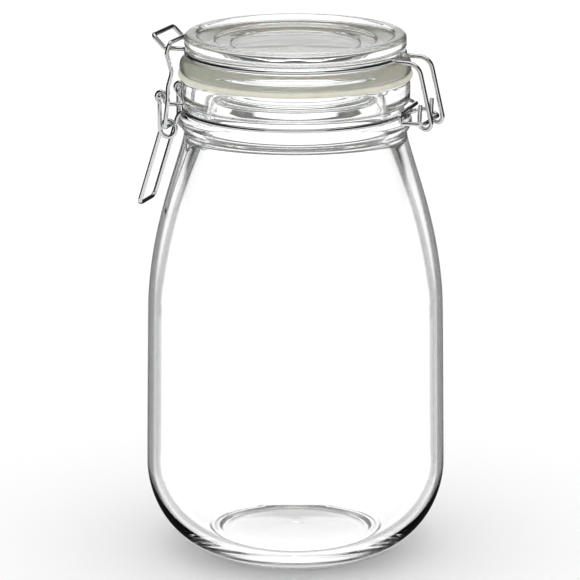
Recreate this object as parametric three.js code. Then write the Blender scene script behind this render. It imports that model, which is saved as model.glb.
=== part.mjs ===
// A lidded glass canister: a jar and a lid of clear glass, a rubber gasket, and four pieces of bent
// wire that hinge the lid and clamp it down. Millimetres, +Z up. The hinge is at +X, the latch at -X.
// The jar's own axis stands at x = JAR_AXIS_X, so that the origin is the middle of the whole footprint.
import * as THREE from "three";

// ---- driving dimensions -----------------------------------------------------------------------
const SEGMENTS = 48; // flats round each turned piece
const WIRE_R = 0.9; // all four wires are 1.8 mm steel
const WIRE_SIDES = 6;
const BEND_STEP = Math.PI / 6; // the most that a wire turns between two sections
const RING_STEP = Math.PI / 24; // the same on the big rings

const BODY_R = 62; // the jar at its widest, just above the heel
const WALL = 3;
const FOOT_IN_R = 33.3; // the flat ring that the jar stands on
const FOOT_OUT_R = 36.7;
const HEEL_TOP_Z = 37;
const SHOULDER_Z = 104; // the shoulder starts to close in here
const SHOULDER_R = 61;
const NECK_Z = 175; // where the shoulder meets the bead
const NECK_R = 45.6;
const BEAD_R = 47.6;
const GROOVE_R = 44.3; // the neck wire lies in this groove
const FINISH_R = 46.8; // the thick glass round the mouth
const BORE_R = 37.2;
const MOUTH_Z = 199.4;
const LIP_R = 4; // rounding inside the mouth

const SEAT_GAP = 0.25; // between the gasket and the glass on either side
const GASKET_R = 47.8;
const GASKET_BORE_R = 38;
const GASKET_T = 1.7;

const LID_TOP_Z = 217;
const LID_RIM_R = 45.2;
const LID_GROOVE_R = 43.1; // the lid wire lies in this groove
const LID_FLANGE_R = 47.2;
const PLUG_R = 34.8; // the skirt under the lid that enters the mouth
const PLUG_BOTTOM_Z = 190.5;
const PLUG_BORE_R = 29.5;

const NECK_WIRE_R = 45.55;
const NECK_WIRE_Z = 185.9;
const LID_WIRE_R = 44.4;
const LID_WIRE_Z = 209.3;

const HINGE_X = 58; // the hinge bar's centre
const HINGE_Z = 185.1;
const HINGE_HOOK_R = 2.5; // centreline of the hooks round the bar
const HINGE_HALF_W = 7.5; // the two legs of the lid wire
const HINGE_ARM_HALF_W = 9.7; // the two arms of the neck wire, outside the legs
const CROSS_X = 47.9; // where one strand passes outside the other
const CROSS_RISE = 2.2;

const PIVOT_X = -54.8; // the latch lever's pivot
const PIVOT_Z = 188.65;
const PIVOT_ARM_HALF_W = 7.6;
const PIVOT_END_HALF_W = 12.1;
const EYE_R = 2; // centreline of the lever's eyes
const EYE_HALF_W = 10.3; // the plane of each eye and the leg under it
const HANDLE_HALF_W = 8.3; // the handle legs, one coil pitch further in
const LEVER_LEG_X = -55.5;
const COIL_R = 3.3;
const COIL_Z = 175.2;
const HANDLE_END_X = -66;
const HANDLE_END_Z = 142.3;

const LINK_HALF_W = 13.6; // the link's legs, outside everything else
const LINK_PIN_HALF_W = 6.8;
const LINK_PIN_X = -52.2;
const LINK_PIN_Z = 176.4;
const LINK_BAR_X = -49.5;
const LINK_BAR_Z = 211.95;

const KEEPER_HALF_W = 11;
const KEEPER_CROOK_X = -52.8;
const KEEPER_END_X = -57.9;
const KEEPER_END_Z = 214.2;

const LATCH_REACH = -HANDLE_END_X + WIRE_R; // the handle reaches further out than the body
const JAR_AXIS_X = (LATCH_REACH - BODY_R) / 2;

// ---- turned pieces ----------------------------------------------------------------------------
const flat = (...pairs) => pairs.map(([r, z]) => new THREE.Vector2(r, z));

// Points along a quarter or less of an ellipse, its two end angles in degrees.
function ellipse(centreR, centreZ, radiusR, radiusZ, from, to, steps) {
  const toRadians = THREE.MathUtils.degToRad;
  const arc = new THREE.EllipseCurve(
    centreR, centreZ, radiusR, radiusZ, toRadians(from), toRadians(to), to < from);
  return arc.getPoints(steps);
}

function bezier(steps, ...pairs) {
  return new THREE.CubicBezierCurve(...flat(...pairs)).getPoints(steps);
}

// A solid of revolution. LatheGeometry wants the outline to close on itself or on the axis, and
// turns from the outside up, so the outline runs up the outer side and down the inner one.
function turned(outline) {
  const lathe = new THREE.LatheGeometry(outline, SEGMENTS);
  return lathe.rotateX(Math.PI / 2);
}

function jarOutline() {
  const heelR = 30; // centre of the heel's elliptical sweep
  const heelStart = -75;
  const foot = flat([0, 3.4], [22, 2.6], [31.5, 0.9], [FOOT_IN_R, 0], [FOOT_OUT_R, 0]);
  const heel = ellipse(heelR, HEEL_TOP_Z, BODY_R - heelR, HEEL_TOP_Z, heelStart, 0, 7);
  const shoulder = bezier(8, [SHOULDER_R, SHOULDER_Z], [59.8, 135], [50, 158], [NECK_R, NECK_Z]);
  const neck = flat(
    [NECK_R + 0.3, 177.5], [BEAD_R - 0.6, 179.2], [BEAD_R, 180.8], [BEAD_R - 0.2, 182.6],
    [BEAD_R - 1, 183.6], [GROOVE_R + 0.4, 184], [GROOVE_R, 184.6], [GROOVE_R, 188.6],
    [GROOVE_R + 0.5, 189.2], [FINISH_R - 0.5, 189.5], [FINISH_R, 190.2], [FINISH_R, 198],
    [FINISH_R - 1, MOUTH_Z]);
  const lip = ellipse(BORE_R + LIP_R, MOUTH_Z - LIP_R, LIP_R, LIP_R, 90, 180, 3);
  const throat = bezier(7, [BORE_R, 184], [BORE_R, 171], [53.5, 150], [SHOULDER_R - WALL, SHOULDER_Z]);
  const floorR = 30;
  const floorZ = 4.9;
  const innerR = BODY_R - WALL;
  const innerHeel = ellipse(floorR, HEEL_TOP_Z, innerR - floorR, HEEL_TOP_Z - floorZ, 0, -90, 6);
  const floor = flat([20, 6.2], [0, 7.2]);
  return [...foot, ...heel, ...shoulder, ...neck, ...lip, ...throat, ...innerHeel, ...floor];
}

function lidOutline() {
  const seatZ = MOUTH_Z + GASKET_T + 2 * SEAT_GAP;
  const plug = flat(
    [0, 207.6], [22, 207.2], [PLUG_BORE_R - 2, 206], [PLUG_BORE_R, 203.5], [PLUG_BORE_R + 1.2, 193.5],
    [PLUG_BORE_R + 2.2, PLUG_BOTTOM_Z + 0.6], [PLUG_R - 2.2, PLUG_BOTTOM_Z],
    [PLUG_R - 0.6, PLUG_BOTTOM_Z + 0.7], [PLUG_R, PLUG_BOTTOM_Z + 2.4], [PLUG_R + 0.3, seatZ]);
  const flange = flat(
    [LID_FLANGE_R - 0.6, seatZ], [LID_FLANGE_R, seatZ + 0.6], [LID_FLANGE_R, 204.6],
    [LID_FLANGE_R - 0.4, 206], [LID_FLANGE_R - 1.4, 207], [LID_FLANGE_R - 2.8, 207.5],
    [LID_GROOVE_R, 208], [LID_GROOVE_R, 211.3], [LID_GROOVE_R + 0.6, 211.9], [LID_RIM_R - 0.3, 212.2],
    [LID_RIM_R, 212.6], [LID_RIM_R, 215]);
  const rim = flat(
    [LID_RIM_R - 0.2, 216.1], [LID_RIM_R - 0.8, 216.8], [LID_RIM_R - 1.6, LID_TOP_Z],
    [LID_RIM_R - 3.8, LID_TOP_Z], [LID_RIM_R - 5.4, 215.9], [38, 215.2], [34, 214.7], [32.4, 213.6],
    [28.6, 213.3], [26.3, 212.7], [25.8, 212.5], [0, 212.5]);
  return [...plug, ...flange, ...rim];
}

function gasketOutline() {
  const low = MOUTH_Z + SEAT_GAP;
  const high = low + GASKET_T;
  const round = 0.5;
  return flat(
    [GASKET_BORE_R, low], [GASKET_R - round, low], [GASKET_R, low + round],
    [GASKET_R, high - round], [GASKET_R - round, high], [GASKET_BORE_R, high], [GASKET_BORE_R, low]);
}

// ---- bent wire --------------------------------------------------------------------------------
const at = (x, y, z) => new THREE.Vector3(x, y, z);
const bend = (x, y, z, radius) => ({ corner: at(x, y, z), radius });

// A run of points in which each bend is a corner rounded to its radius, as a wire former makes it.
function bent(items) {
  const place = (item) => item.corner ?? item;
  const points = [];
  items.forEach((item, i) => {
    if (!item.corner) {
      points.push(item);
      return;
    }
    const back = place(items[i - 1]).clone().sub(item.corner).normalize();
    const ahead = place(items[i + 1]).clone().sub(item.corner).normalize();
    const turn = Math.PI - back.angleTo(ahead);
    const setback = item.radius * Math.tan(turn / 2);
    const inward = back.clone().add(ahead).normalize();
    const centre = inward.multiplyScalar(item.radius / Math.cos(turn / 2)).add(item.corner);
    const start = back.multiplyScalar(setback).add(item.corner).sub(centre);
    const end = ahead.multiplyScalar(setback).add(item.corner).sub(centre);
    const axis = start.clone().cross(end).normalize();
    const steps = Math.ceil(turn / BEND_STEP);
    for (let k = 0; k <= steps; k++)
      points.push(start.clone().applyAxisAngle(axis, (turn * k) / steps).add(centre));
  });
  return points;
}

// Points round the jar's axis between two angles, with the radius and height sliding evenly.
function ring(from, to, [fromR, toR], [fromZ, toZ]) {
  const steps = Math.max(1, Math.ceil(Math.abs(to - from) / RING_STEP));
  const points = [];
  for (let k = 0; k <= steps; k++) {
    const share = k / steps;
    const angle = from + (to - from) * share;
    const radius = fromR + (toR - fromR) * share;
    points.push(at(radius * Math.cos(angle), radius * Math.sin(angle), fromZ + (toZ - fromZ) * share));
  }
  return points;
}

// Points round an axis along Y, at a height and sideways place, with y sliding evenly.
function turnAboutY(centreX, centreZ, radius, [from, to], [fromY, toY]) {
  const steps = Math.ceil(Math.abs(to - from) / BEND_STEP);
  const points = [];
  for (let k = 0; k <= steps; k++) {
    const share = k / steps;
    const angle = from + (to - from) * share;
    const y = fromY + (toY - fromY) * share;
    points.push(at(centreX + radius * Math.cos(angle), y, centreZ + radius * Math.sin(angle)));
  }
  return points;
}

// A path that stops exactly at its own points, so straight runs cost nothing and bends stay round.
class WirePath extends THREE.Curve {
  constructor(points) {
    super();
    this.points = points;
  }
  getUtoTmapping(u) {
    return u;
  }
  getPoint(t) {
    return this.points[Math.round(t * (this.points.length - 1))].clone();
  }
  getTangent(t) {
    const i = Math.round(t * (this.points.length - 1));
    const here = this.points[i];
    const before = this.points[i - 1] ?? here;
    const after = this.points[i + 1] ?? here;
    const arriving = here.clone().sub(before).normalize();
    const leaving = after.clone().sub(here).normalize();
    return arriving.add(leaving).normalize();
  }
}

function wire(points) {
  const section = new THREE.Shape();
  for (let k = 0; k < WIRE_SIDES; k++) {
    const angle = (2 * Math.PI * k) / WIRE_SIDES;
    const x = WIRE_R * Math.cos(angle);
    const y = WIRE_R * Math.sin(angle);
    if (k === 0) section.moveTo(x, y);
    else section.lineTo(x, y);
  }
  section.closePath();
  const path = new WirePath(points);
  return new THREE.ExtrudeGeometry(section, { extrudePath: path, steps: points.length - 1 });
}

const mirrored = (items) =>
  items.map((item) =>
    item.corner
      ? { corner: at(item.corner.x, -item.corner.y, item.corner.z), radius: item.radius }
      : at(item.x, -item.y, item.z));

// One length of wire round the neck. Its free ends are the latch pivot's two pins. At the hinge its
// two halves cross, one over the other, and meet in the bar that the lid hinges on.
function neckWirePoints() {
  const armZ = 185.3;
  const latchAngle = Math.asin(PIVOT_ARM_HALF_W / NECK_WIRE_R) + 0.09;
  const pinAndArm = [
    at(PIVOT_X, -PIVOT_END_HALF_W, PIVOT_Z),
    bend(PIVOT_X, -PIVOT_ARM_HALF_W, PIVOT_Z, 1.6),
    bend(PIVOT_X + 0.6, -PIVOT_ARM_HALF_W, armZ, 1.6),
    bend(-NECK_WIRE_R + 0.9, -PIVOT_ARM_HALF_W, armZ, 2),
  ];
  const groove = [NECK_WIRE_R, NECK_WIRE_R];
  const level = [NECK_WIRE_Z, NECK_WIRE_Z];
  const lowHalf = ring(-Math.PI + latchAngle, 0.06, groove, level);
  const highHalfStart = 0.9;
  const farHalf = ring(Math.PI - latchAngle, highHalfStart, groove, level);
  const highZ = NECK_WIRE_Z + CROSS_RISE;
  const rise = ring(highHalfStart, 0.32, [NECK_WIRE_R, CROSS_X + 1.2], [NECK_WIRE_Z, highZ]);
  const nearArmZ = 184.8;
  const lowArm = [
    bend(NECK_WIRE_R + 0.9, HINGE_ARM_HALF_W, NECK_WIRE_Z - 0.1, 2),
    bend(HINGE_X - 5.4, HINGE_ARM_HALF_W, NECK_WIRE_Z + 1.4, 3),
    bend(HINGE_X, HINGE_ARM_HALF_W, HINGE_Z, 1.7),
    bend(HINGE_X, -HINGE_ARM_HALF_W, HINGE_Z, 1.7),
    bend(CROSS_X + 0.3, -HINGE_ARM_HALF_W, nearArmZ, 1.5),
    bend(CROSS_X + 0.1, -HINGE_ARM_HALF_W, highZ, 1.5),
  ];
  return bent([
    ...pinAndArm,
    ...lowHalf,
    ...lowArm,
    ...rise.slice(1).reverse(),
    ...farHalf.reverse(),
    ...mirrored(pinAndArm).reverse(),
  ]);
}

// One length of wire round the lid. At the latch it makes the upturned keeper, and at the hinge its
// two ends make hooks that turn on the neck wire's bar.
function lidWirePoints() {
  const legTopX = 55;
  const legTopZ = LID_WIRE_Z - 0.3;
  const legLean = 0.25; // radians from upright
  const hookStart = legLean;
  const freeTopX = HINGE_X - HINGE_HOOK_R + 0.4;
  const legAngle = Math.asin(HINGE_HALF_W / LID_WIRE_R) + 0.09;
  const keeperAngle = Math.asin(KEEPER_HALF_W / LID_WIRE_R) + 0.09;
  const hook = turnAboutY(
    HINGE_X, HINGE_Z, HINGE_HOOK_R, [-Math.PI, hookStart], [-HINGE_HALF_W, -HINGE_HALF_W]);
  const leg = [
    at(freeTopX, -HINGE_HALF_W, 192.5),
    ...hook,
    bend(legTopX, -HINGE_HALF_W, legTopZ, 5.5),
    bend(LID_WIRE_R - 0.9, -HINGE_HALF_W, LID_WIRE_Z, 2),
  ];
  const side = ring(-legAngle, -Math.PI + keeperAngle, [LID_WIRE_R, LID_WIRE_R], [LID_WIRE_Z, LID_WIRE_Z]);
  const keeper = [
    bend(-LID_WIRE_R + 0.9, -KEEPER_HALF_W, LID_WIRE_Z, 2),
    bend(KEEPER_CROOK_X, -KEEPER_HALF_W, LID_WIRE_Z - 0.1, 1.8),
    bend(KEEPER_END_X, -KEEPER_HALF_W, KEEPER_END_Z, 1.6),
  ];
  const half = [...leg, ...side, ...keeper];
  return bent([...half, ...mirrored(half).reverse()]);
}

// The handle. Each leg starts with an eye on its pivot pin and takes one turn round the link's end.
function leverPoints() {
  const coilX = LEVER_LEG_X + COIL_R;
  const eyeOpen = THREE.MathUtils.degToRad(-35);
  const eyeClose = THREE.MathUtils.degToRad(235);
  const lean = Math.atan2(coilX - COIL_R - HANDLE_END_X, COIL_Z - HANDLE_END_Z);
  const eye = turnAboutY(
    PIVOT_X, PIVOT_Z, EYE_R, [eyeOpen, eyeClose], [-EYE_HALF_W, -EYE_HALF_W]);
  const coil = turnAboutY(
    coilX, COIL_Z, COIL_R, [Math.PI, 3 * Math.PI - lean], [-EYE_HALF_W, -HANDLE_HALF_W]);
  const half = [
    ...eye,
    bend(LEVER_LEG_X, -EYE_HALF_W, PIVOT_Z - EYE_R - 0.9, 1.2),
    ...coil,
    bend(HANDLE_END_X, -HANDLE_HALF_W, HANDLE_END_Z, 2.6),
  ];
  return bent([...half, ...mirrored(half).reverse()]);
}

// The frame that joins the lever's coils to the keeper. Its legs bow in under the lid's edge.
function linkPoints() {
  const y = -LINK_HALF_W;
  const half = [
    at(LINK_PIN_X, -LINK_PIN_HALF_W, LINK_PIN_Z),
    bend(LINK_PIN_X, y, LINK_PIN_Z, 1.6),
    bend(-50.6, y, 188, 12),
    bend(-50.5, y, 193.6, 6),
    bend(-48.7, y, 199.6, 5),
    bend(-51, y, 207.6, 3.4),
    bend(LINK_BAR_X, y, LINK_BAR_Z, 1.8),
  ];
  return bent([...half, ...mirrored(half).reverse()]);
}

// ---- the canister -----------------------------------------------------------------------------
function material(color, roughness, metalness) {
  return new THREE.MeshStandardMaterial({ color, roughness, metalness });
}

function piece(name, geometry, finish) {
  const mesh = new THREE.Mesh(geometry, finish);
  mesh.name = name;
  return mesh;
}

const canister = new THREE.Group();
canister.name = "canister";
canister.position.x = JAR_AXIS_X;
canister.add(
  piece("glass_jar", turned(jarOutline()), material("#e6ebe9", 0.05, 0)),
  piece("glass_lid", turned(lidOutline()), material("#e6ebe9", 0.05, 0)),
  piece("rubber_gasket", turned(gasketOutline()), material("#dcdccb", 0.6, 0)),
  piece("neck_wire", wire(neckWirePoints()), material("#b9bbbd", 0.2, 1)),
  piece("lid_wire", wire(lidWirePoints()), material("#b9bbbd", 0.2, 1)),
  piece("latch_lever", wire(leverPoints()), material("#b9bbbd", 0.2, 1)),
  piece("latch_link", wire(linkPoints()), material("#b9bbbd", 0.2, 1)),
);

export default canister;
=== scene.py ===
"""The looks of a lidded glass canister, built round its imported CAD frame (Blender 4.5)."""
import math

import bpy
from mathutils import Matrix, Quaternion, Vector


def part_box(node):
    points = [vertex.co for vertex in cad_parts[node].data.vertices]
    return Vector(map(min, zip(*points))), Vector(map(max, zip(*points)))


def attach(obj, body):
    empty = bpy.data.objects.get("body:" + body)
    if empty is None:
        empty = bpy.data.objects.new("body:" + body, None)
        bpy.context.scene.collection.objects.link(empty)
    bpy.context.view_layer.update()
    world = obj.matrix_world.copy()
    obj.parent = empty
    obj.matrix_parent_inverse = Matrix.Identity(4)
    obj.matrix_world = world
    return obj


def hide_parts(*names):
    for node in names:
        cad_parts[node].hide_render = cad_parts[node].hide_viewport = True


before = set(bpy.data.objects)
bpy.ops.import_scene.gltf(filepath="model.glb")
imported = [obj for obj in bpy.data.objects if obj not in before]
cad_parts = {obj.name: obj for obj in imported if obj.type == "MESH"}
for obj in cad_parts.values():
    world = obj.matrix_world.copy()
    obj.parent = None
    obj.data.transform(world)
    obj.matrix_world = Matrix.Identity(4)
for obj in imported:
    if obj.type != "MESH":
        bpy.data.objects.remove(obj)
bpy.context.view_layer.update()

MM = 0.001
JAR_LOW, JAR_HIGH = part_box("glass_jar")
AXIS_X = (JAR_LOW.x + JAR_HIGH.x) / 2  # the jar's own axis stands here, in metres

# ---- the same driving dimensions as the CAD, in millimetres ------------------------------------
WIRE_R = 0.9
BODY_R = 62.0
WALL = 3.0
FOOT_IN_R = 33.3
FOOT_OUT_R = 36.7
HEEL_TOP_Z = 37.0
SHOULDER_Z = 104.0
SHOULDER_R = 61.0
NECK_Z = 175.0
NECK_R = 45.6
BEAD_R = 47.6
GROOVE_R = 44.3
FINISH_R = 46.8
BORE_R = 37.2
MOUTH_Z = 199.4
LIP_R = 4.0
SEAT_GAP = 0.25
GASKET_R = 47.8
GASKET_BORE_R = 38.0
GASKET_T = 1.7
GASKET_CROWN = 1.1  # how much higher the rubber stands at its inner edge, in the lid's tapered seat
SEAT_Z = MOUTH_Z + GASKET_T + 2 * SEAT_GAP
LID_TOP_Z = 217.0
LID_RIM_R = 45.2
LID_GROOVE_R = 43.1
LID_FLANGE_R = 47.2
PLUG_R = 34.8
PLUG_BOTTOM_Z = 190.5
PLUG_BORE_R = 29.5
NECK_WIRE_R = 45.55
NECK_WIRE_Z = 185.9
LID_WIRE_R = 44.4
LID_WIRE_Z = 209.3
HINGE_X = 58.0
HINGE_Z = 185.1
HINGE_HOOK_R = 2.5
HINGE_HALF_W = 7.5
HINGE_ARM_HALF_W = 9.7
CROSS_X = 47.9
CROSS_RISE = 2.2
PIVOT_X = -54.8
PIVOT_Z = 188.65
PIVOT_ARM_HALF_W = 7.6
PIVOT_END_HALF_W = 12.1
EYE_R = 2.0
EYE_HALF_W = 10.3
HANDLE_HALF_W = 8.3
LEVER_LEG_X = -55.5
COIL_R = 3.3
COIL_Z = 175.2
HANDLE_END_X = -66.0
HANDLE_END_Z = 142.3
LINK_HALF_W = 13.6
LINK_PIN_HALF_W = 6.8
LINK_PIN_X = -52.2
LINK_PIN_Z = 176.4
LINK_BAR_X = -49.5
LINK_BAR_Z = 211.95
KEEPER_HALF_W = 11.0
KEEPER_CROOK_X = -52.8
KEEPER_END_X = -57.9
KEEPER_END_Z = 214.2

TURNS = 160  # flats round the lid and the gasket
JAR_TURNS = 320  # the jar has more, for the dimples in its foot
DIMPLE = 0.35
SMOOTHING = 2  # rounds of corner cutting on an outline of glass
WET = 0.05  # how far the squeezed rubber reaches into the glass above and below it
WIRE_SIDES = 16
BEND_STEP = math.pi / 18
RING_STEP = math.pi / 90


# ---- turned pieces ------------------------------------------------------------------------------
def ellipse(centre_r, centre_z, radius_r, radius_z, start, end, steps):
    """Points along an elliptical arc between two angles in degrees."""
    points = []
    for k in range(steps + 1):
        angle = math.radians(start + (end - start) * k / steps)
        points.append((centre_r + radius_r * math.cos(angle), centre_z + radius_z * math.sin(angle)))
    return points


def bezier(steps, a, b, c, d):
    points = []
    for k in range(steps + 1):
        t = k / steps
        weights = ((1 - t) ** 3, 3 * t * (1 - t) ** 2, 3 * t * t * (1 - t), t**3)
        points.append(tuple(sum(w * p[i] for w, p in zip(weights, (a, b, c, d))) for i in (0, 1)))
    return points


def corner_cut(points, rounds):
    """Chaikin's corner cutting, which leaves the two end points where they are."""
    for _ in range(rounds):
        cut = [points[0]]
        for (r0, z0), (r1, z1) in zip(points, points[1:]):
            cut.append((0.75 * r0 + 0.25 * r1, 0.75 * z0 + 0.25 * z1))
            cut.append((0.25 * r0 + 0.75 * r1, 0.25 * z0 + 0.75 * z1))
        cut.append(points[-1])
        points = cut
    return points


def jar_outline():
    foot = [(0, 3.4), (22, 2.6), (31.5, 0.9), (FOOT_IN_R, 0), (FOOT_OUT_R, 0)]
    heel = ellipse(30, HEEL_TOP_Z, BODY_R - 30, HEEL_TOP_Z, -75, 0, 14)
    shoulder = bezier(14, (SHOULDER_R, SHOULDER_Z), (59.8, 135), (50, 158), (NECK_R, NECK_Z))
    neck = [
        (NECK_R + 0.3, 177.5), (BEAD_R - 0.6, 179.2), (BEAD_R, 180.8), (BEAD_R - 0.2, 182.6),
        (BEAD_R - 1, 183.6), (GROOVE_R + 0.4, 184), (GROOVE_R, 184.6), (GROOVE_R, 188.6),
        (GROOVE_R + 0.5, 189.2), (FINISH_R - 0.5, 189.5), (FINISH_R, 190.2), (FINISH_R, 198),
        (FINISH_R - 1, MOUTH_Z),
    ]
    lip = ellipse(BORE_R + LIP_R, MOUTH_Z - LIP_R, LIP_R, LIP_R, 90, 180, 5)
    throat = bezier(14, (BORE_R, 184), (BORE_R, 171), (53.5, 150), (SHOULDER_R - WALL, SHOULDER_Z))
    inner_heel = ellipse(30, HEEL_TOP_Z, BODY_R - WALL - 30, HEEL_TOP_Z - 4.9, 0, -90, 14)
    floor = [(20, 6.2), (0, 7.2)]
    return foot + heel + shoulder + neck + lip + throat + inner_heel + floor


def lid_outline():
    plug = [
        (0, 207.6), (22, 207.2), (PLUG_BORE_R - 2, 206), (PLUG_BORE_R, 203.5),
        (PLUG_BORE_R + 1.2, 193.5), (PLUG_BORE_R + 2.2, PLUG_BOTTOM_Z + 0.6),
        (PLUG_R - 2.2, PLUG_BOTTOM_Z), (PLUG_R - 0.6, PLUG_BOTTOM_Z + 0.7),
        (PLUG_R, PLUG_BOTTOM_Z + 2.4), (PLUG_R + 0.3, SEAT_Z),
        (PLUG_R + 0.8, SEAT_Z + GASKET_CROWN - 0.3), (GASKET_BORE_R, SEAT_Z + GASKET_CROWN),
    ]
    flange = [
        (LID_FLANGE_R - 0.6, SEAT_Z), (LID_FLANGE_R, SEAT_Z + 0.6), (LID_FLANGE_R, 204.6),
        (LID_FLANGE_R - 0.3, 205.8), (LID_FLANGE_R - 1, 206.7), (LID_FLANGE_R - 2, 207.3),
        (LID_FLANGE_R - 2.8, 207.5), (LID_GROOVE_R + 0.3, 207.7), (LID_GROOVE_R, 208),
        (LID_GROOVE_R, 211.3), (LID_GROOVE_R + 0.4, 211.8), (LID_RIM_R - 0.3, 212.2),
        (LID_RIM_R, 212.6), (LID_RIM_R, 215),
    ]
    rim = [
        (LID_RIM_R - 0.2, 216.1), (LID_RIM_R - 0.8, 216.8), (LID_RIM_R - 1.6, LID_TOP_Z),
        (LID_RIM_R - 3.8, LID_TOP_Z), (LID_RIM_R - 4.6, 216.6), (LID_RIM_R - 5.4, 215.9), (38, 215.2),
        (34, 214.7), (33.2, 214.5), (32.7, 213.9), (32.2, 213.6), (29.2, 213.4), (28.6, 213.3),
        (27.2, 213.1), (26.5, 212.9), (26.2, 212.6), (25.8, 212.5), (0, 212.5),
    ]
    return plug + flange + rim


def gasket_outline():
    """The ring of rubber, squeezed until it wets the glass above and below it."""
    low = MOUTH_Z - WET
    high = SEAT_Z + WET
    return [
        (GASKET_BORE_R, low), (GASKET_R - 0.8, low), (GASKET_R - 0.25, low + 0.25),
        (GASKET_R, low + 0.9), (GASKET_R, high - 0.9), (GASKET_R - 0.25, high - 0.25),
        (GASKET_R - 0.8, high), (GASKET_BORE_R, high + GASKET_CROWN),
    ]


def mesh_object(name, vertices, faces):
    mesh = bpy.data.meshes.new(name)
    mesh.from_pydata(vertices, [], faces)
    mesh.validate()
    for polygon in mesh.polygons:
        polygon.use_smooth = True
    obj = bpy.data.objects.new(name, mesh)
    bpy.context.scene.collection.objects.link(obj)
    return obj


def turned(name, outline, flats=TURNS, loop=False, dimple=0.0):
    """A solid of revolution about the jar's axis, from an outline that runs anticlockwise. Dimple is
    how deep the small hollows are in the flat ring that it stands on."""
    vertices = []
    rings = []
    for row, (r, z) in enumerate(outline):
        start = len(vertices)
        hollow = dimple if z == 0 and FOOT_IN_R + 1 < r < FOOT_OUT_R - 1 else 0.0
        if r == 0:
            vertices.append((AXIS_X, 0, z * MM))
            rings.append([start] * flats)
            continue
        for k in range(flats):
            angle = 2 * math.pi * k / flats
            height = z + hollow * ((k + row) % 2)
            vertices.append((AXIS_X + r * MM * math.cos(angle), r * MM * math.sin(angle), height * MM))
        rings.append(list(range(start, start + flats)))
    faces = []
    pairs = list(zip(rings, rings[1:]))
    if loop:
        pairs.append((rings[-1], rings[0]))
    for low, high in pairs:
        for k in range(flats):
            n = (k + 1) % flats
            corners = [low[k], low[n], high[n], high[k]]
            face = [c for i, c in enumerate(corners) if c not in corners[:i]]
            faces.append(face)
    return mesh_object(name, vertices, faces)


# ---- bent wire ----------------------------------------------------------------------------------
def bend(x, y, z, radius):
    return (Vector((x, y, z)), radius)


def bent(items):
    """Points of a run in which each (corner, radius) is a bend rounded to its radius."""
    def place(item):
        return item[0] if isinstance(item, tuple) else item

    points = []
    for i, item in enumerate(items):
        if not isinstance(item, tuple):
            points.append(item)
            continue
        corner, radius = item
        back = (place(items[i - 1]) - corner).normalized()
        ahead = (place(items[i + 1]) - corner).normalized()
        turn = math.pi - back.angle(ahead)
        setback = radius * math.tan(turn / 2)
        centre = corner + (back + ahead).normalized() * radius / math.cos(turn / 2)
        start = corner + back * setback - centre
        end = corner + ahead * setback - centre
        axis = start.cross(end).normalized()
        steps = math.ceil(turn / BEND_STEP)
        for k in range(steps + 1):
            points.append(Quaternion(axis, turn * k / steps) @ start + centre)
    return points


def ring(start, end, radii, heights):
    steps = max(1, math.ceil(abs(end - start) / RING_STEP))
    points = []
    for k in range(steps + 1):
        share = k / steps
        angle = start + (end - start) * share
        radius = radii[0] + (radii[1] - radii[0]) * share
        z = heights[0] + (heights[1] - heights[0]) * share
        points.append(Vector((radius * math.cos(angle), radius * math.sin(angle), z)))
    return points


def turn_about_y(centre_x, centre_z, radius, angles, ys):
    start, end = angles
    steps = math.ceil(abs(end - start) / BEND_STEP)
    points = []
    for k in range(steps + 1):
        share = k / steps
        angle = start + (end - start) * share
        y = ys[0] + (ys[1] - ys[0]) * share
        points.append(Vector((centre_x + radius * math.cos(angle), y, centre_z + radius * math.sin(angle))))
    return points


def mirrored(items):
    out = []
    for item in items:
        if isinstance(item, tuple):
            corner, radius = item
            out.append((Vector((corner.x, -corner.y, corner.z)), radius))
        else:
            out.append(Vector((item.x, -item.y, item.z)))
    return out


def neck_wire_points():
    arm_z = 185.3
    latch_angle = math.asin(PIVOT_ARM_HALF_W / NECK_WIRE_R) + 0.09
    pin_and_arm = [
        Vector((PIVOT_X, -PIVOT_END_HALF_W, PIVOT_Z)),
        bend(PIVOT_X, -PIVOT_ARM_HALF_W, PIVOT_Z, 1.6),
        bend(PIVOT_X + 0.6, -PIVOT_ARM_HALF_W, arm_z, 1.6),
        bend(-NECK_WIRE_R + 0.9, -PIVOT_ARM_HALF_W, arm_z, 2),
    ]
    groove = (NECK_WIRE_R, NECK_WIRE_R)
    level = (NECK_WIRE_Z, NECK_WIRE_Z)
    low_half = ring(-math.pi + latch_angle, 0.06, groove, level)
    high_half_start = 0.9
    far_half = ring(math.pi - latch_angle, high_half_start, groove, level)
    high_z = NECK_WIRE_Z + CROSS_RISE
    rise = ring(high_half_start, 0.32, (NECK_WIRE_R, CROSS_X + 1.2), (NECK_WIRE_Z, high_z))
    near_arm_z = 184.8
    low_arm = [
        bend(NECK_WIRE_R + 0.9, HINGE_ARM_HALF_W, NECK_WIRE_Z - 0.1, 2),
        bend(HINGE_X - 5.4, HINGE_ARM_HALF_W, NECK_WIRE_Z + 1.4, 3),
        bend(HINGE_X, HINGE_ARM_HALF_W, HINGE_Z, 1.7),
        bend(HINGE_X, -HINGE_ARM_HALF_W, HINGE_Z, 1.7),
        bend(CROSS_X + 0.3, -HINGE_ARM_HALF_W, near_arm_z, 1.5),
        bend(CROSS_X + 0.1, -HINGE_ARM_HALF_W, high_z, 1.5),
    ]
    return bent(
        pin_and_arm + low_half + low_arm + rise[1:][::-1] + far_half[::-1]
        + mirrored(pin_and_arm)[::-1])


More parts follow.
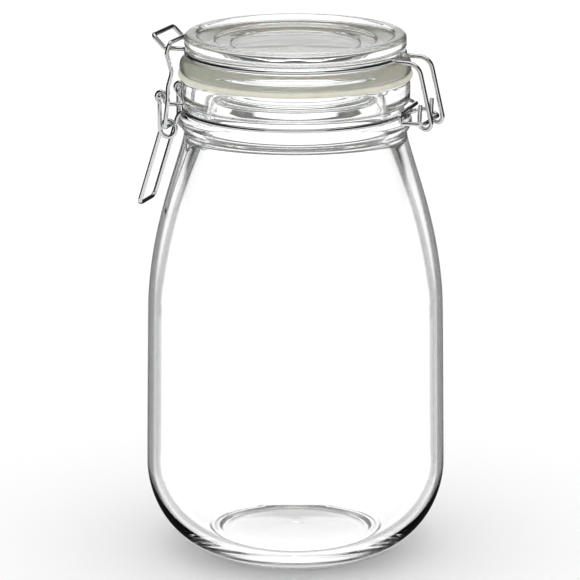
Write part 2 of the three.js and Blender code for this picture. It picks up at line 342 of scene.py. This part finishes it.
def lid_wire_points():
    leg_top_x = 55.0
    leg_top_z = LID_WIRE_Z - 0.3
    leg_lean = 0.25
    free_top_x = HINGE_X - HINGE_HOOK_R + 0.4
    leg_angle = math.asin(HINGE_HALF_W / LID_WIRE_R) + 0.09
    keeper_angle = math.asin(KEEPER_HALF_W / LID_WIRE_R) + 0.09
    hook = turn_about_y(
        HINGE_X, HINGE_Z, HINGE_HOOK_R, (-math.pi, leg_lean), (-HINGE_HALF_W, -HINGE_HALF_W))
    leg = [Vector((free_top_x, -HINGE_HALF_W, 192.5))] + hook + [
        bend(leg_top_x, -HINGE_HALF_W, leg_top_z, 5.5),
        bend(LID_WIRE_R - 0.9, -HINGE_HALF_W, LID_WIRE_Z, 2),
    ]
    side = ring(
        -leg_angle, -math.pi + keeper_angle, (LID_WIRE_R, LID_WIRE_R), (LID_WIRE_Z, LID_WIRE_Z))
    keeper = [
        bend(-LID_WIRE_R + 0.9, -KEEPER_HALF_W, LID_WIRE_Z, 2),
        bend(KEEPER_CROOK_X, -KEEPER_HALF_W, LID_WIRE_Z - 0.1, 1.8),
        bend(KEEPER_END_X, -KEEPER_HALF_W, KEEPER_END_Z, 1.6),
    ]
    half = leg + side + keeper
    return bent(half + mirrored(half)[::-1])


def lever_points():
    coil_x = LEVER_LEG_X + COIL_R
    lean = math.atan2(coil_x - COIL_R - HANDLE_END_X, COIL_Z - HANDLE_END_Z)
    eye = turn_about_y(
        PIVOT_X, PIVOT_Z, EYE_R, (math.radians(-35), math.radians(235)), (-EYE_HALF_W, -EYE_HALF_W))
    coil = turn_about_y(
        coil_x, COIL_Z, COIL_R, (math.pi, 3 * math.pi - lean), (-EYE_HALF_W, -HANDLE_HALF_W))
    half = eye + [bend(LEVER_LEG_X, -EYE_HALF_W, PIVOT_Z - EYE_R - 0.9, 1.2)] + coil + [
        bend(HANDLE_END_X, -HANDLE_HALF_W, HANDLE_END_Z, 2.6)]
    return bent(half + mirrored(half)[::-1])


def link_points():
    y = -LINK_HALF_W
    half = [
        Vector((LINK_PIN_X, -LINK_PIN_HALF_W, LINK_PIN_Z)),
        bend(LINK_PIN_X, y, LINK_PIN_Z, 1.6),
        bend(-50.6, y, 188, 12),
        bend(-50.5, y, 193.6, 6),
        bend(-48.7, y, 199.6, 5),
        bend(-51, y, 207.6, 3.4),
        bend(LINK_BAR_X, y, LINK_BAR_Z, 1.8),
    ]
    return bent(half + mirrored(half)[::-1])


def wire(name, points):
    """A round wire along points in millimetres, its two cut ends slightly rounded off."""
    points = [p for i, p in enumerate(points) if i == 0 or (p - points[i - 1]).length > 1e-4]
    first = (points[1] - points[0]).normalized()
    last = (points[-1] - points[-2]).normalized()
    edge = 0.3
    path = [(points[0], 0.62), (points[0] + first * edge * 0.35, 0.88), (points[0] + first * edge, 1)]
    path += [(p, 1) for p in points[1:-1]]
    path += [(points[-1] - last * edge, 1), (points[-1] - last * edge * 0.35, 0.88), (points[-1], 0.62)]
    vertices = []
    tangent = first
    side = first.orthogonal().normalized()
    for i, (point, share) in enumerate(path):
        before = path[max(i - 1, 0)][0]
        after = path[min(i + 1, len(path) - 1)][0]
        arriving = (point - before).normalized() if i else first
        leaving = (after - point).normalized() if i < len(path) - 1 else last
        new_tangent = (arriving + leaving).normalized()
        side = tangent.rotation_difference(new_tangent) @ side
        tangent = new_tangent
        other = tangent.cross(side)
        for k in range(WIRE_SIDES):
            angle = 2 * math.pi * k / WIRE_SIDES
            offset = (side * math.cos(angle) + other * math.sin(angle)) * WIRE_R * share
            vertices.append((point + offset) * MM + Vector((AXIS_X, 0, 0)))
    faces = []
    for i in range(len(path) - 1):
        for k in range(WIRE_SIDES):
            n = (k + 1) % WIRE_SIDES
            a, b = i * WIRE_SIDES, (i + 1) * WIRE_SIDES
            faces.append((a + k, a + n, b + n, b + k))
    faces.append(tuple(range(WIRE_SIDES))[::-1])
    faces.append(tuple(range((len(path) - 1) * WIRE_SIDES, len(path) * WIRE_SIDES)))
    return mesh_object(name, vertices, faces)


# ---- materials ----------------------------------------------------------------------------------
CLEAR = (0.985, 0.99, 0.985, 1)
# Painted shade: clear glass turns to these dark colours where its surface is seen edge-on, in place of the
# dark room its edges would show; darker on the thin body than on the thick neck and lid.
THICK_GLASS_PAINTED_EDGE_SHADE = (0.22, 0.225, 0.22, 1)
THIN_GLASS_PAINTED_EDGE_SHADE = (0.14, 0.145, 0.14, 1)
EDGE_START = 0.68  # on Layer Weight's Facing, where 1 is along the surface
EDGE_WIDTH = 0.05
BODY_TOP = 0.174  # metres: the thin glass of the body ends here, and the thick neck begins
NO_THIN_GLASS = 0.0


class NodeMaths:
    """Short calls that add maths nodes to a tree and give back the output they make."""
    def __init__(self, tree):
        self.nodes, self.links = tree.nodes, tree.links

    def feed(self, socket, value):
        if isinstance(value, (int, float)):
            socket.default_value = value
        else:
            self.links.new(value, socket)

    def maths(self, operation, *values):
        node = self.nodes.new("ShaderNodeMath")
        node.operation = operation
        for socket, value in zip(node.inputs, values):
            self.feed(socket, value)
        return node.outputs[0]

    def ramp(self, value, low, high, at_low, at_high):
        """at_low below low, at_high above high, and an even slope between."""
        node = self.nodes.new("ShaderNodeMapRange")
        for name, number in (("From Min", low), ("From Max", high), ("To Min", at_low), ("To Max", at_high)):
            node.inputs[name].default_value = number
        self.feed(node.inputs["Value"], value)
        return node.outputs["Result"]

    def mix(self, share, at_zero, at_one):
        node = self.nodes.new("ShaderNodeMix")
        self.feed(node.inputs["Factor"], share)
        self.feed(node.inputs["A"], at_zero)
        self.feed(node.inputs["B"], at_one)
        return node.outputs["Result"]


def new_material(name):
    material = bpy.data.materials.new(name)
    material.use_nodes = True
    nodes = material.node_tree.nodes
    return material, nodes, material.node_tree.links, nodes["Principled BSDF"]


def noise_node(nodes, links, scale, detail, distortion=0.0):
    place = nodes.new("ShaderNodeTexCoord")
    noise = nodes.new("ShaderNodeTexNoise")
    noise.inputs["Scale"].default_value = scale
    noise.inputs["Detail"].default_value = detail
    noise.inputs["Distortion"].default_value = distortion
    links.new(place.outputs["Object"], noise.inputs["Vector"])
    return noise


def painted_edge_shade(nodes, links, painted_shade):
    """Clear glass, with painted shade where the eye looks along a wall: a dark colour in place of the dark
    room that the glass's edges would show.
    """
    weight = nodes.new("ShaderNodeLayerWeight")
    weight.inputs["Blend"].default_value = 0.5
    ramp = nodes.new("ShaderNodeValToRGB")
    tones = ramp.color_ramp.elements
    tones[0].position, tones[0].color = EDGE_START, CLEAR
    tones[1].position, tones[1].color = EDGE_START + EDGE_WIDTH, painted_shade
    links.new(weight.outputs["Facing"], ramp.inputs["Fac"])
    return ramp.outputs["Color"]


def glass_material(name, wave_scale, wave_height, thin_up_to):
    """Glass that is thin below a height in metres and thick above it, with a faintly wavy surface and
    painted shade along its edges, darker on the thin part.
    """
    material, nodes, links, shader = new_material(name)
    tree = NodeMaths(material.node_tree)
    place = nodes.new("ShaderNodeTexCoord")
    height = nodes.new("ShaderNodeSeparateXYZ")
    links.new(place.outputs["Object"], height.inputs["Vector"])
    thin = tree.ramp(height.outputs["Z"], thin_up_to - 0.004, thin_up_to, 1.0, 0.0)
    # Painted edge shade: the thin body's darker colour below thin_up_to, the thick glass's colour above it.
    blend = nodes.new("ShaderNodeMix")
    blend.data_type = "RGBA"
    links.new(thin, blend.inputs["Factor"])
    links.new(painted_edge_shade(nodes, links, THICK_GLASS_PAINTED_EDGE_SHADE), blend.inputs["A"])
    links.new(painted_edge_shade(nodes, links, THIN_GLASS_PAINTED_EDGE_SHADE), blend.inputs["B"])
    links.new(blend.outputs["Result"], shader.inputs["Base Color"])
    shader.inputs["Transmission Weight"].default_value = 1.0
    shader.inputs["IOR"].default_value = 1.5
    shader.inputs["Roughness"].default_value = 0.0
    waves = noise_node(nodes, links, wave_scale, 1.0)
    bump = nodes.new("ShaderNodeBump")
    bump.inputs["Strength"].default_value = 1.0
    bump.inputs["Distance"].default_value = wave_height
    links.new(waves.outputs["Fac"], bump.inputs["Height"])
    links.new(bump.outputs["Normal"], shader.inputs["Normal"])
    return material


def rubber_material():
    material, nodes, links, shader = new_material("gasket_rubber_look")
    mottle = noise_node(nodes, links, 260, 4)
    ramp = nodes.new("ShaderNodeValToRGB")
    ramp.color_ramp.elements[0].position = 0.3
    ramp.color_ramp.elements[0].color = (0.6, 0.6, 0.5, 1)
    ramp.color_ramp.elements[1].position = 0.7
    ramp.color_ramp.elements[1].color = (0.68, 0.68, 0.57, 1)
    links.new(mottle.outputs["Fac"], ramp.inputs["Fac"])
    links.new(ramp.outputs["Color"], shader.inputs["Base Color"])
    shader.inputs["Roughness"].default_value = 0.5
    shader.inputs["Subsurface Weight"].default_value = 0.4
    shader.inputs["Subsurface Scale"].default_value = 0.002
    grain = noise_node(nodes, links, 1800, 3)
    bump = nodes.new("ShaderNodeBump")
    bump.inputs["Strength"].default_value = 0.25
    bump.inputs["Distance"].default_value = 0.0001
    links.new(grain.outputs["Fac"], bump.inputs["Height"])
    links.new(bump.outputs["Normal"], shader.inputs["Normal"])
    return material


def wire_material():
    material, nodes, links, shader = new_material("wire_look")
    shader.inputs["Base Color"].default_value = (0.66, 0.665, 0.67, 1)
    shader.inputs["Metallic"].default_value = 1.0
    streak = noise_node(nodes, links, 700, 5, 0.6)
    spread = nodes.new("ShaderNodeMapRange")
    spread.inputs["To Min"].default_value = 0.05
    spread.inputs["To Max"].default_value = 0.16
    links.new(streak.outputs["Fac"], spread.inputs["Value"])
    links.new(spread.outputs["Result"], shader.inputs["Roughness"])
    return material


def floor_material():
    material, nodes, links, shader = new_material("floor_look")
    shader.inputs["Base Color"].default_value = (0.95, 0.95, 0.95, 1)
    shader.inputs["Roughness"].default_value = 0.6
    return material


# ---- the pieces ---------------------------------------------------------------------------------
def add_piece(obj, material, body, node):
    obj.data.materials.append(material)
    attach(obj, body)
    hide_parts(node)


jar_glass = glass_material("jar_glass_look", 14, 0.0001, BODY_TOP)
lid_glass = glass_material("lid_glass_look", 22, 0.00002, NO_THIN_GLASS)
rubber = rubber_material()
steel = wire_material()

jar_body = turned("jar_body", corner_cut(jar_outline(), SMOOTHING), JAR_TURNS, dimple=DIMPLE)
lid_disc = turned("lid_disc", corner_cut(lid_outline(), SMOOTHING))
gasket_ring = turned("gasket_ring", gasket_outline(), loop=True)
add_piece(jar_body, jar_glass, "jar", "glass_jar")
add_piece(lid_disc, lid_glass, "lid", "glass_lid")
add_piece(gasket_ring, rubber, "lid", "rubber_gasket")
add_piece(wire("neck_wire_round", neck_wire_points()), steel, "jar", "neck_wire")
add_piece(wire("lid_wire_round", lid_wire_points()), steel, "lid", "lid_wire")
add_piece(wire("latch_lever_round", lever_points()), steel, "lever", "latch_lever")
add_piece(wire("latch_link_round", link_points()), steel, "link", "latch_link")


# ---- floor, light and camera --------------------------------------------------------------------
HEADING = math.radians(20)  # the camera looks along +Y turned by this much
SIN_HEADING, COS_HEADING = math.sin(HEADING), math.cos(HEADING)


def add_floor():
    half = 6.0
    corners = [(-half, -half, 0), (half, -half, 0), (half, half, 0), (-half, half, 0)]
    floor = mesh_object("floor", corners, [(0, 1, 2, 3)])
    floor.data.materials.append(floor_material())
    floor.visible_transmission = False
    floor.visible_glossy = False


def room_through_glass(tree, z):
    """White walls up to a little above the horizon, then an unlit ring, then the light overhead."""
    walls = tree.ramp(z, 0.1, 0.15, 1.0, 0.08)
    overhead = tree.ramp(z, 0.78, 0.84, 0.0, 3.0)
    return tree.maths("MAXIMUM", walls, overhead)


def mirrored_room(tree, x, y, z):
    """What shiny surfaces reflect. Its flags, like a photographer's, are fixed in the room: one on
    either side above the table, and one on either side of the backdrop."""
    walls = tree.ramp(z, 0.26, 0.36, 1.0, 0.12)
    overhead = tree.ramp(z, 0.78, 0.84, 0.0, 1.3)
    level_part = tree.maths("SQRT", tree.maths("SUBTRACT", 1.0, tree.maths("MULTIPLY", z, z)))
    across = tree.maths("ADD", tree.maths("MULTIPLY", x, COS_HEADING),
                        tree.maths("MULTIPLY", y, SIN_HEADING))
    across = tree.maths("ABSOLUTE", tree.maths("DIVIDE", across, level_part))
    ahead = tree.maths("SUBTRACT", tree.maths("MULTIPLY", y, COS_HEADING),
                       tree.maths("MULTIPLY", x, SIN_HEADING))
    beside = tree.ramp(across, 0.5, 0.52, 0.0, 1.0)
    above_table = tree.ramp(z, -0.24, -0.232, 0.0, 1.0)
    side_flag = tree.maths("MULTIPLY", beside, above_table)
    past_backdrop = tree.ramp(across, 0.1, 0.2, 0.0, 1.0)
    behind = tree.ramp(ahead, 0.0, 0.05, 0.0, 1.0)
    back_flag = tree.maths("MULTIPLY", past_backdrop, behind)
    back_flag = tree.maths("MULTIPLY", back_flag, tree.ramp(across, 0.7, 0.75, 1.0, 0.0))
    dark = tree.maths("MAXIMUM", side_flag, back_flag)
    flagged = tree.maths("MULTIPLY", walls, tree.ramp(dark, 0.0, 1.0, 1.0, 0.02))
    return tree.maths("MAXIMUM", flagged, overhead)


def add_world():
    """A white studio. It is even for the camera and for matt surfaces, so the floor and the backdrop
    stay plain; glass and metal see the rooms above, whose unlit parts draw their edges."""
    world = bpy.data.worlds.new("studio")
    world.use_nodes = True
    bpy.context.scene.world = world
    nodes = world.node_tree.nodes
    tree = NodeMaths(world.node_tree)
    nodes["Background"].inputs["Color"].default_value = (1, 1, 1, 1)
    place = nodes.new("ShaderNodeTexCoord")
    split = nodes.new("ShaderNodeSeparateXYZ")
    tree.feed(split.inputs["Vector"], place.outputs["Generated"])
    x, y, z = split.outputs
    ray = nodes.new("ShaderNodeLightPath")
    through = tree.maths("MULTIPLY", room_through_glass(tree, z), 1.2)
    seen = tree.mix(ray.outputs["Is Glossy Ray"], 1.17, mirrored_room(tree, x, y, z))
    seen = tree.mix(ray.outputs["Is Transmission Ray"], seen, through)
    tree.feed(nodes["Background"].inputs["Strength"], seen)


def add_camera():
    data = bpy.data.cameras.new("camera")
    data.lens = 225.26
    data.sensor_width = 36
    data.shift_x = -5.5 / 580
    data.shift_y = 2.2 / 580
    data.clip_end = 50
    camera = bpy.data.objects.new("camera", data)
    away, height, pitch = 1.450, 0.4904, math.radians(14.77)
    camera.location = (AXIS_X + away * SIN_HEADING, -away * COS_HEADING, height)
    camera.rotation_euler = (math.pi / 2 - pitch, 0, HEADING)
    bpy.context.scene.collection.objects.link(camera)
    bpy.context.scene.camera = camera


add_floor()
add_world()
add_camera()
scene = bpy.context.scene
scene.view_settings.view_transform = "Standard"
scene.cycles.max_bounces = 32  # light crosses many surfaces in the lid and the neck
scene.cycles.glossy_bounces = 16
scene.cycles.transmission_bounces = 32
